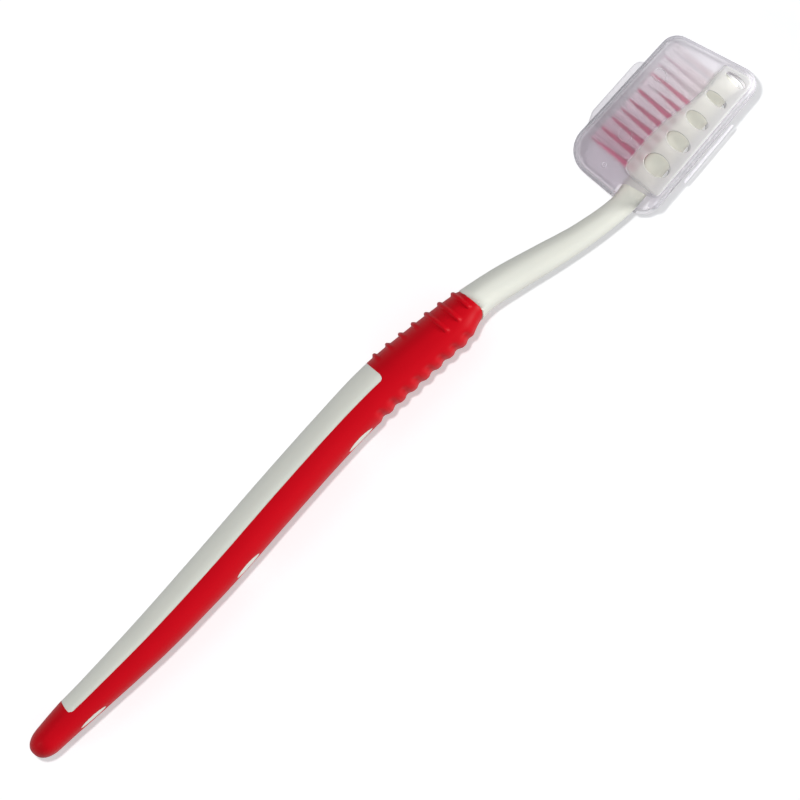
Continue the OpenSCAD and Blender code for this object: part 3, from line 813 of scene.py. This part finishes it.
# Cap
cap = {
    "wall": 0.65, "face": 6.45, "pocket": 0.55, "rim": 0.05, "draft": 0.3, "edge": 1.0,
    "soft": 0.1, "chamfer": 0.03,
    "left": 155.8, "back": -3.3, "front": 18.0, "frontFrom": 159.4, "frontFall": 2.5,
    "tip": 190.3, "tipLean": 12.9,
    "corners": (3.5, 3.8, 5.6, 4.48), "cornerSteps": 18,
    "vents": [  # place, width and height
        (165.87, 2.295, 4.1, 5.6), (172.04, 2.09, 3.12, 5.32), (177.58, 1.99, 2.67, 4.93),
        (183.09, 1.68, 1.89, 4.93), (188.34, 1.2, 1.8, 4.7),
    ],
    "ventRim": [(0.24, 0), (0.12, -0.03), (0.03, -0.12), (0, -0.24)],
    "ventSides": 48,
    "crease": (7.29, 4.9), "creaseRun": (168.97, 184.05), "creaseEnds": (3.2, 1.6), "creaseStep": 0.55,
    "pocketLeft": 160.85, "pocketCorners": (1.2, 2.2, 0.9, 2.4), "pocketWall": 0.42,
    "pocketStep": [  # run and rise of its side
        (0, 0), (0.05, 0.02), (0.13, 0.09), (0.21, 0.2),
        (0.29, 0.35), (0.37, 0.46), (0.46, 0.53), (0.58, 0.55),
    ],
    # the way out for the neck: shares of the covered neck and of the head's thickness,
    # and the radius of the corner
    "notch": [
        (1.35, -0.72, 0.3), (1, -0.57, 0.4), (0.74, -0.3, 0.25),
        (1.25, -0.19, 0.15), (0.98, 0.84, 0.5), (0.72, 1.08, 0.35),
    ],
    "notchPast": 1, "notchHeights": (-1, 9), "slotRun": (-1, 2),
    "neckHalf": 2.8, "neckGap": 0.5, "neckRound": 1.7,
    # rings left by the mould: place, radius, bead, degrees
    "marks": [
        (159.3, 10.2, 0.42, 0.11, 360), (166.4, 10.8, 1.3, 0.09, 300), (179.6, 13.2, 1.3, 0.08, 300),
    ],
    "markTurn": 70, "markLift": 0.2,
}
capAngles = [-90, cap["tipLean"], 90 - cap["frontFall"], 180, 270]
tipLean, frontFall = math.radians(cap["tipLean"]), math.radians(cap["frontFall"])
midY = (cap["back"] + cap["front"]) / 2
capHeights = [
    -cap["back"],
    cap["tip"] * math.cos(tipLean) + midY * math.sin(tipLean),
    cap["frontFrom"] * math.sin(frontFall) + cap["front"] * math.cos(frontFall),
    -cap["left"],
    -cap["back"],
]


def capOutline(inset):
    points = []
    for i, radius in enumerate(cap["corners"]):
        a, b = math.radians(capAngles[i]), math.radians(capAngles[i + 1])
        ha, hb = capHeights[i] - radius, capHeights[i + 1] - radius
        turn = math.sin(b - a)
        centre = Vector((
            (ha * math.sin(b) - hb * math.sin(a)) / turn,
            (hb * math.cos(a) - ha * math.cos(b)) / turn,
        ))
        for s in range(cap["cornerSteps"] + 1):
            angle = a + (b - a) * s / cap["cornerSteps"]
            points.append(centre + (radius - inset) * Vector((math.cos(angle), math.sin(angle))))
    return points


def creaseY(x):
    start, end = cap["creaseRun"]
    t = min(max((x - start) / (end - start), 0), 1)
    s = (1 + math.cos(math.pi * t)) / 2
    return s * cap["crease"][0] + (1 - s) * cap["crease"][1]


def rounded(corners, steps=8):
    # corners: place and radius, in turn
    points = []
    for i, (place, radius) in enumerate(corners):
        here, before = Vector(place), Vector(corners[i - 1][0])
        after = Vector(corners[(i + 1) % len(corners)][0])
        if radius == 0:
            points.append(here)
            continue
        into, out = (here - before).normalized(), (after - here).normalized()
        run = abs(radius * math.tan(into.angle_signed(out) / 2))
        start, end = here - into * run, here + out * run
        for s in range(steps + 1):
            t = s / steps
            points.append(start * (1 - t) ** 2 + here * 2 * t * (1 - t) + end * t * t)
    return points


def drawnIn(points, inset):
    # the outline moved towards its inside, which lies on its left
    moved = []
    for i, here in enumerate(points):
        along = (points[(i + 1) % len(points)] - points[i - 1]).normalized()
        moved.append(here + Vector((-along.y, along.x)) * inset)
    return moved


def lifted(points, z):
    return [Vector((p.x, p.y, z)) for p in points]


def pocketOutline():
    inset = cap["draft"] + cap["edge"]

    def tipX(y):
        return cap["tip"] + (midY - y) * math.tan(tipLean) - inset / math.cos(tipLean)

    left, low = cap["pocketLeft"], cap["back"] + inset
    high, tipHigh = cap["crease"]
    endX = tipX(tipHigh)
    first, last = cap["creaseEnds"]
    run = evenly(left + first, endX - last, cap["creaseStep"])
    places = [(left, low), (tipX(low), low), (endX, tipHigh), (left, high)]
    corners = list(zip(places, cap["pocketCorners"]))
    return rounded(corners[:3] + [((x, creaseY(x)), 0) for x in reversed(run)] + corners[3:])


def wallLevels(start, top, radius, away):
    # inset and height from the rim to the face; away is the side to which the rim is softened
    soft, rim, chamfer, draft = cap["soft"], cap["rim"], cap["chamfer"], cap["draft"]
    levels = [(start + away * soft, rim), (start + away * chamfer, rim + chamfer), (start, rim + soft)]
    climb = top - radius - rim - soft
    levels += [(start + draft * t, rim + soft + climb * t) for t in (0.25, 0.5, 0.75)]
    for a in turns(91, 10):
        levels.append((start + draft + radius * (1 - math.cos(a)), top - radius * (1 - math.sin(a))))
    return levels


def capShell(bm):
    # an upper half, open downwards
    wall, face, edge = cap["wall"], cap["face"], cap["edge"]
    top = face + cap["pocket"]
    outer = wallLevels(0, face, edge, 1)
    inner = wallLevels(wall, face - wall, edge - wall / 2, -1)
    rollGrid(bm, [lifted(capOutline(inset), z) for inset, z in list(reversed(inner)) + outer])
    pocket = pocketOutline()
    outerStep = [lifted(drawnIn(pocket, run), face + rise) for run, rise in cap["pocketStep"]]
    innerStep = []
    for run, rise in cap["pocketStep"]:
        innerStep.append(lifted(drawnIn(pocket, cap["pocketWall"] + run), face - wall + rise))
    rollGrid(bm, outerStep)
    rollGrid(bm, innerStep)
    flatFill(bm, [lifted(capOutline(outer[-1][0]), face), outerStep[0]])
    flatFill(bm, [lifted(capOutline(inner[-1][0]), face - wall), innerStep[0]])
    around = [2 * math.pi * n / cap["ventSides"] for n in range(cap["ventSides"])]
    ventTop, ventLow = [], []
    for x, y, width, height in cap["vents"]:
        levels = [(grow, top + drop) for grow, drop in cap["ventRim"]]
        levels += [(grow, top - wall - drop) for grow, drop in reversed(cap["ventRim"])]
        rings = []
        for grow, z in levels:
            wide, high = width / 2 + grow, height / 2 + grow
            rings.append([Vector((x + wide * math.cos(a), y + high * math.sin(a), z)) for a in around])
        rollGrid(bm, rings)
        ventTop.append(rings[0])
        ventLow.append(rings[-1])
    flatFill(bm, [outerStep[-1]] + ventTop)
    flatFill(bm, [innerStep[-1]] + ventLow)


def prism(bm, outline, low, high, soft):
    # a flat-topped block with softened edges
    bit = soft * 0.3
    levels = [(soft, low), (bit, low + bit), (0, low + soft)]
    levels += [(0, high - soft), (bit, high - bit), (soft, high)]
    flatEnded(bm, [lifted(drawnIn(outline, inset), z) for inset, z in levels])


def cutterObject(bm, name):
    cutter = makeObject(bm, name, frosted)
    cutter.hide_render = True
    return cutter


def combine(piece, steps):
    # steps: cutter object and kind of cut; the result is baked into the mesh
    for cutter, kind in steps:
        cut = piece.modifiers.new(cutter.name, "BOOLEAN")
        cut.object, cut.operation, cut.solver = cutter, kind, "EXACT"
    bpy.context.view_layer.update()
    mesh = bpy.data.meshes.new_from_object(piece.evaluated_get(bpy.context.evaluated_depsgraph_get()))
    piece.modifiers.clear()
    piece.data = mesh
    for cutter, kind in steps:
        bpy.data.objects.remove(cutter)
    bm = bmesh.new()
    bm.from_mesh(mesh)
    bmesh.ops.remove_doubles(bm, verts=bm.verts, dist=0.000002)
    bmesh.ops.dissolve_degenerate(bm, edges=bm.edges, dist=0.000001)
    shadeSmooth(bm, 32)
    bm.to_mesh(mesh)
    bm.free()
    mesh.validate()
    mesh.materials.clear()
    mesh.materials.append(frosted)


hinge = {
    "x": 166.94, "length": 14.6, "reach": 0.3, "flange": 0.9, "overlap": 0.3,
    "corners": (0.12, 0.12, 0.02, 0.02), "soft": 0.06,
    "film": 0.6, "filmThickness": 0.25, "filmLeg": 0.1, "filmSteps": 24, "filmStep": 0.6,
}
tab = {
    "x": 163.46, "length": 16.4, "reach": 1.2, "thickness": 1.2, "rise": 0.39, "slope": 2.6,
    "before": 0.6, "root": 0.35, "taper": 0.1, "corners": (0.1, 0.1, 2.0, 2.2), "soft": 0.16,
}
tongue = {
    "before": 0.8, "after": 1.6, "back": 1.35, "front": 0.85, "rootFront": 0.3,
    "heights": (-1.2, 1.2), "rootHeights": (-2.2, -0.2), "soft": 0.1,
}
hingeY = cap["back"] - hinge["reach"] - hinge["filmLeg"]
frontY = cap["front"] - (tab["x"] - cap["frontFrom"]) * math.tan(frontFall)
endY = frontY - tab["length"] * math.tan(frontFall)


def flange(name, low, high):
    x0, x1 = hinge["x"], hinge["x"] + hinge["length"]
    y0, y1 = cap["back"] - hinge["reach"], cap["back"] + hinge["overlap"]
    places = [(x0, y0), (x1, y0), (x1, y1), (x0, y1)]
    bm = bmesh.new()
    prism(bm, rounded(list(zip(places, hinge["corners"])), steps=4), low, high, hinge["soft"])
    return cutterObject(bm, name)


def mouldRing(number, x, y, radius, bead, arc):
    bm = bmesh.new()
    origin = (0, 0, 0)
    profile = bmesh.ops.create_circle(bm, segments=10, radius=bead)["verts"]
    bmesh.ops.rotate(bm, verts=profile, cent=origin, matrix=Matrix.Rotation(math.radians(90), 3, "X"))
    bmesh.ops.translate(bm, verts=profile, vec=(radius, 0, 0))
    bmesh.ops.spin(
        bm, geom=bm.verts[:] + bm.edges[:], cent=origin, axis=(0, 0, 1), angle=math.radians(arc),
        steps=36, use_merge=arc == 360,
    )
    closeHoles(bm)
    turn = Matrix.Rotation(math.radians(cap["markTurn"] * number), 3, "Z")
    bmesh.ops.rotate(bm, verts=bm.verts, cent=origin, matrix=turn)
    bmesh.ops.translate(bm, verts=bm.verts, vec=(x, y, cap["face"] + cap["markLift"] * bead))
    return cutterObject(bm, f"mouldRing{number}")


def makeUpperHalf():
    bm = bmesh.new()
    capShell(bm)
    upper = makeObject(bm, "capUpperShell", frosted, sharp=40)
    left, cover, thick = cap["left"], neckLength - cap["left"], head["thickness"]
    start, low = left - cap["notchPast"], cap["back"] - cap["notchPast"]
    shares = cap["notch"]
    corners = [((start, low), 0), ((left + shares[0][0] * cover, low), 0)]
    corners += [((left + along * cover, across * thick), radius) for along, across, radius in shares]
    corners += [((start, shares[-1][1] * thick), 0)]
    outline = rounded(corners, steps=5)
    notch = bmesh.new()
    flatEnded(notch, [lifted(outline, z) for z in cap["notchHeights"]])
    steps = [(cutterObject(notch, "notchCut"), "DIFFERENCE")]
    steps += [(flange("upperFlange", cap["rim"], hinge["flange"]), "UNION")]
    steps += [(mouldRing(i, *mark), "UNION") for i, mark in enumerate(cap["marks"])]
    combine(upper, steps)
    return upper


def neckSlot():
    half, gap = cap["neckHalf"] + cap["neckGap"], cap["neckGap"]
    deep, radius = head["thickness"] + gap, cap["neckRound"]
    outline = rounded([((-gap, 1), 0), ((-gap, -half), radius), ((deep, -half), radius), ((deep, 1), 0)])
    bm = bmesh.new()
    flatEnded(bm, [[Vector((cap["left"] + x, p.x, p.y)) for p in outline] for x in cap["slotRun"]])
    return cutterObject(bm, "neckSlot")


def fingerTab():
    left, right = tab["x"], tab["x"] + tab["length"]
    rise = frontY + tab["rise"] * tab["reach"] + tab["reach"] / 3
    places = [
        (left - tab["before"], frontY - tab["root"]), (right, endY - tab["root"]),
        (right - tab["taper"], endY + tab["reach"]), (left + tab["slope"], rise),
    ]
    bm = bmesh.new()
    high = -cap["rim"]
    prism(bm, rounded(list(zip(places, tab["corners"]))), high - tab["thickness"], high, tab["soft"])
    return cutterObject(bm, "fingerTab")


def tongueBlock(name, front, heights):
    # a strip along the front wall
    x0, x1 = tab["x"] + tongue["before"], tab["x"] + tab["length"] - tongue["after"]

    def wallY(x, inset):
        return cap["front"] - (x - cap["frontFrom"]) * math.tan(frontFall) - inset

    ends = ((x0, tongue["back"]), (x1, tongue["back"]), (x1, front), (x0, front))
    bm = bmesh.new()
    outline = rounded([((x, wallY(x, inset)), 0.1) for x, inset in ends], steps=3)
    prism(bm, outline, *heights, tongue["soft"])
    return cutterObject(bm, name)


def makeLowerHalf():
    bm = bmesh.new()
    capShell(bm)
    bmesh.ops.scale(bm, vec=(1, 1, -1), verts=bm.verts)
    lower = makeObject(bm, "capLowerShell", frosted, sharp=40)
    combine(lower, [
        (neckSlot(), "DIFFERENCE"),
        (fingerTab(), "UNION"),
        (tongueBlock("tongueRoot", tongue["rootFront"], tongue["rootHeights"]), "UNION"),
        (tongueBlock("catchTongue", tongue["front"], tongue["heights"]), "UNION"),
        (flange("lowerFlange", -hinge["flange"], -cap["rim"]), "UNION"),
    ])
    return lower


def makeFilm():
    outer, inner, leg = hinge["film"], hinge["film"] - hinge["filmThickness"], hinge["filmLeg"]
    half = [math.pi * s / hinge["filmSteps"] for s in range(hinge["filmSteps"] + 1)]
    loop = [(leg, -outer)] + [(-outer * math.sin(a), -outer * math.cos(a)) for a in half]
    loop += [(leg, outer), (leg, inner)]
    loop += [(-inner * math.sin(a), inner * math.cos(a)) for a in half] + [(leg, -inner)]
    start, end = hinge["x"], hinge["x"] + hinge["length"]
    bm = bmesh.new()
    places = evenly(start, end, hinge["filmStep"]) + [end]
    rollGrid(bm, [[Vector((x, hingeY + y, z)) for y, z in loop] for x in places])
    bmesh.ops.remove_doubles(bm, verts=bm.verts, dist=0.002)
    closeHoles(bm)
    return makeObject(bm, "hingeFilm", frosted, sharp=50)


upperHalf = makeUpperHalf()
dress(upperHalf, "cap_lid", "cap_upper_half")
lowerHalf = makeLowerHalf()
dress(lowerHalf, "brush", "cap_lower_half")
film = makeFilm()
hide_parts("cap_hinge_film")
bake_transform(film)
print("cap made")


# Camera and room
# turn in degrees, distance and across in metres, middle and sensor in millimetres
view = {"turn": 49.91, "distance": 2.0, "across": 0.156, "middle": (98.8, 11.1, 0), "sensor": 36}
room = {
    "sky": (0.86, 0.92, 1.0), "world": 0.24, "glossShare": 0.3,
    "floorGlow": 0.42, "glassGlow": 0.54, "floorColour": 0.8, "floorHalf": 3, "floorZ": -0.00004,
    # place and size in metres, watts, whether it is seen in gloss, whether it lights the floor
    "lamps": {
        "keyLamp": ((0.02, 0.27, 1.93), 0.10, 18.5, False, True),
        "rimLamp": ((0.85, -0.95, 0.45), 0.5, 16, True, False),
        "edgeLamp": ((-0.9, 0.5, 0.7), 0.3, 1.6, True, True),
    },
}


def makeCamera():
    camera = bpy.data.cameras.new("photoCamera")
    camera.sensor_width = view["sensor"]
    camera.lens = view["sensor"] * view["distance"] / view["across"]
    camera.clip_start, camera.clip_end = 0.05, 10
    holder = bpy.data.objects.new("photoCamera", camera)
    bpy.context.scene.collection.objects.link(holder)
    place = toRow @ Vector(view["middle"]) + Vector((0, 0, view["distance"]))
    turn = Matrix.Rotation(-math.radians(view["turn"]), 4, "Z")
    holder.matrix_world = Matrix.Translation(place) @ turn
    bpy.context.scene.camera = holder


def makeFloor():
    bm = bmesh.new()
    bmesh.ops.create_grid(bm, x_segments=1, y_segments=1, size=room["floorHalf"])
    bmesh.ops.translate(bm, verts=bm.verts, vec=(0, 0, room["floorZ"]))
    mesh = bpy.data.meshes.new("paleFloor")
    bm.to_mesh(mesh)
    bm.free()
    floor = bpy.data.objects.new("paleFloor", mesh)
    bpy.context.scene.collection.objects.link(floor)
    material, tree = newMaterial("paleFloor")
    matt = wire(tree, "ShaderNodeBsdfDiffuse", {"Color": (room["floorColour"],) * 3 + (1,)})
    # the floor is lifted to white where the eye meets it, straight or through the cap
    path = wire(tree, "ShaderNodeLightPath")
    direct = worked(tree, "MULTIPLY", path.outputs["Is Camera Ray"], room["floorGlow"])
    glow = worked(tree, "MULTIPLY_ADD", path.outputs["Is Transmission Ray"], room["glassGlow"], direct)
    light = wire(tree, "ShaderNodeEmission", {"Strength": glow})
    both = wire(tree, "ShaderNodeAddShader", {0: matt.outputs[0], 1: light.outputs[0]})
    wire(tree, "ShaderNodeOutputMaterial", {"Surface": both.outputs[0]})
    mesh.materials.append(material)
    return floor


def makeWorld():
    world = bpy.data.worlds.new("studio")
    bpy.context.scene.world = world
    world.use_nodes = True
    tree = world.node_tree
    tree.nodes.clear()
    path = wire(tree, "ShaderNodeLightPath")
    seen = worked(tree, "MAXIMUM", path.outputs["Is Camera Ray"], path.outputs["Is Transmission Ray"])
    shown = wire(tree, "ShaderNodeMath", {
        0: path.outputs["Is Glossy Ray"], 1: room["glossShare"], 2: seen,
    }, operation="MULTIPLY_ADD", use_clamp=True).outputs[0]
    sky = wire(tree, "ShaderNodeBackground", {
        "Color": tinted(tree, shown, room["sky"], (1, 1, 1)),
        "Strength": mapped(tree, shown, 0.0, 1.0, room["world"], 1.0),
    })
    wire(tree, "ShaderNodeOutputWorld", {"Surface": sky.outputs[0]})


def makeLamps(floor):
    for name, (place, size, watts, glossy, onFloor) in room["lamps"].items():
        lamp = bpy.data.lights.new(name, "AREA")
        lamp.shape, lamp.size, lamp.energy = "DISK", size, watts
        holder = bpy.data.objects.new(name, lamp)
        bpy.context.scene.collection.objects.link(holder)
        holder.visible_glossy = holder.visible_transmission = glossy
        holder.location = place
        holder.rotation_euler = (-holder.location).to_track_quat("-Z", "Y").to_euler()
        if not onFloor:
            # a side light would leave the backdrop uneven
            skipped = bpy.data.collections.new("lampSkips")
            skipped.objects.link(floor)
            holder.light_linking.receiver_collection = skipped
            skipped.collection_objects[0].light_linking.link_state = "EXCLUDE"


makeCamera()
makeWorld()
makeLamps(makeFloor())
bpy.context.scene.view_settings.view_transform = "Standard"
print("camera, floor and light made")
